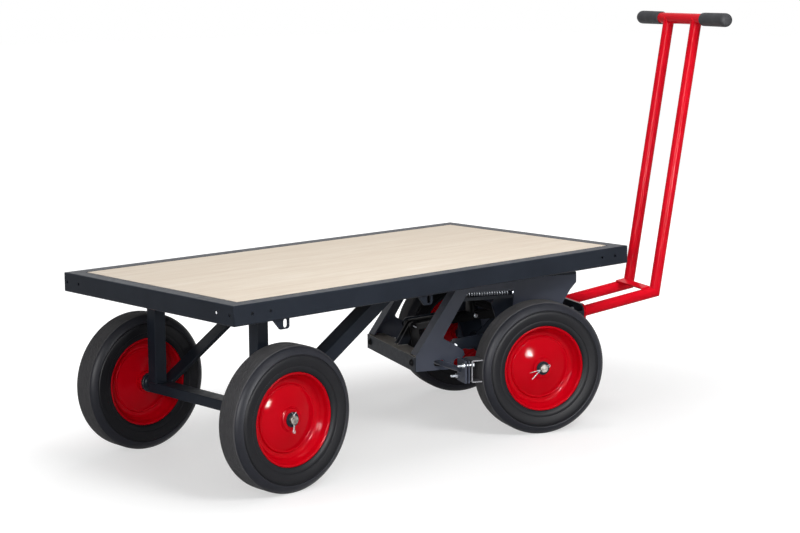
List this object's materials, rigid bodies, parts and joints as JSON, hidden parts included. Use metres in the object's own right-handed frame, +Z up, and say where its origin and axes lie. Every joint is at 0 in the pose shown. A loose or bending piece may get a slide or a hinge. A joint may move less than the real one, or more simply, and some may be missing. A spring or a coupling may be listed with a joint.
{
  "type": "turntable truck",
  "caption": "Platform truck with a plywood deck in a steel frame, a steered front bogie under a slewing ring, a T-handle drawbar and a brake that is on while the handle stands upright.",
  "frame": {"origin": "On the floor, under the middle of the box round the truck as pictured, with the bogie steered to the right and the handle upright.", "axes": "+X runs along the deck from its rear edge to the handle end, +Y to the left, +Z up."},
  "size_m": [2.0194, 0.9454, 1.2416],
  "materials": {
    "plywood": "smooth birch plywood, pale beige, clear lacquer",
    "frame_paint": "anthracite powder coat, satin, fine texture",
    "red_paint": "glossy red powder coat",
    "tyre_rubber": "charcoal rubber, slight sheen",
    "grip_rubber": "matte dark grey grip",
    "zinc": "bright zinc plate",
    "bare_steel": "turned steel, oiled",
    "black_bolts": "black finished bolts, satin"
  },
  "bodies": {
    "chassis": {"deck_board": "plywood", "deck_rail_left": "frame_paint", "deck_rail_right": "frame_paint", "deck_rail_front": "frame_paint", "deck_rail_rear": "frame_paint", "rear_crossmember": "frame_paint", "middle_crossmember": "frame_paint", "turntable_crossmembers": "frame_paint", "slewing_ring_upper": "frame_paint", "rear_axle_beam": "frame_paint", "rear_post_left": "frame_paint", "rear_post_right": "frame_paint", "rear_brace_left": "frame_paint", "rear_brace_right": "frame_paint", "rear_stub_axles": "bare_steel", "rear_axle_washers": "frame_paint", "lashing_eyes": "frame_paint"},
    "bogie": {"slewing_ring_lower": "frame_paint", "bogie_top_plate": "frame_paint", "bogie_side_plate_left": "frame_paint", "bogie_side_plate_right": "frame_paint", "bogie_rear_channel": "frame_paint", "channel_bolts": "black_bolts", "front_axle": "bare_steel", "front_axle_washers": "frame_paint", "window_tie_bars": "frame_paint", "brake_pivot_pin": "zinc", "return_spring_left": "zinc", "return_spring_right": "zinc"},
    "drawbar": {"drawbar_sleeve": "frame_paint", "drawbar_cheeks": "frame_paint", "drawbar_web": "frame_paint", "spring_horns": "frame_paint", "brake_lift_bar": "frame_paint", "handle_base_plate": "red_paint", "base_plate_bolts": "zinc", "handle_lower_tube_left": "red_paint", "handle_lower_tube_right": "red_paint", "handle_upright_left": "red_paint", "handle_upright_right": "red_paint", "handle_crossbar": "red_paint", "handle_brace_strip": "red_paint", "grip_left": "grip_rubber", "grip_right": "grip_rubber"},
    "brake": {"brake_rocker": "frame_paint", "brake_bar": "frame_paint", "brake_shoes": "zinc", "brake_shoe_bolts": "zinc"},
    "wheel_rear_left": {"tyre_rear_left": "tyre_rubber", "rim_rear_left": "red_paint", "bearings_rear_left": "bare_steel"},
    "wheel_rear_right": {"tyre_rear_right": "tyre_rubber", "rim_rear_right": "red_paint", "bearings_rear_right": "bare_steel"},
    "wheel_front_left": {"tyre_front_left": "tyre_rubber", "rim_front_left": "red_paint", "bearings_front_left": "bare_steel"},
    "wheel_front_right": {"tyre_front_right": "tyre_rubber", "rim_front_right": "red_paint", "bearings_front_right": "bare_steel"}
  },
  "joints": [
    {"name": "steer", "type": "hinge", "parent": "chassis", "child": "bogie", "pos_m": [0.14613, 0.08022, 0.472], "axis": [0, 0, 1], "range_deg": [-68.5, 111.5]},
    {"name": "drawbar_tilt", "type": "hinge", "parent": "bogie", "child": "drawbar", "pos_m": [0.287, 0.02473, 0.2], "axis": [0.3665, 0.9304, 0], "range_deg": [0, 33], "stiffness_Nm_per_rad": 30, "springref_deg": -126.05, "deforming": ["return_spring_left", "return_spring_right"]},
    {"name": "brake_swing", "type": "hinge", "parent": "bogie", "child": "brake", "pos_m": [0.01978, 0.12999, 0.293], "axis": [0.3665, 0.9304, 0], "range_deg": [0, 5.61]},
    {"name": "spin_rear_left", "type": "hinge", "parent": "chassis", "child": "wheel_rear_left", "pos_m": [-0.79717, 0.41272, 0.2], "axis": [0, 1, 0], "continuous": true},
    {"name": "spin_rear_right", "type": "hinge", "parent": "chassis", "child": "wheel_rear_right", "pos_m": [-0.79717, -0.25228, 0.2], "axis": [0, 1, 0], "continuous": true},
    {"name": "spin_front_left", "type": "hinge", "parent": "bogie", "child": "wheel_front_left", "pos_m": [0.40318, 0.31967, 0.2], "axis": [0.3665, 0.9304, 0], "continuous": true},
    {"name": "spin_front_right", "type": "hinge", "parent": "bogie", "child": "wheel_front_right", "pos_m": [0.17081, -0.27021, 0.2], "axis": [0.3665, 0.9304, 0], "continuous": true}
  ],
  "couplings": [
    {"joint": "brake_swing", "follows": "drawbar_tilt", "ratio": 0.17}
  ]
}
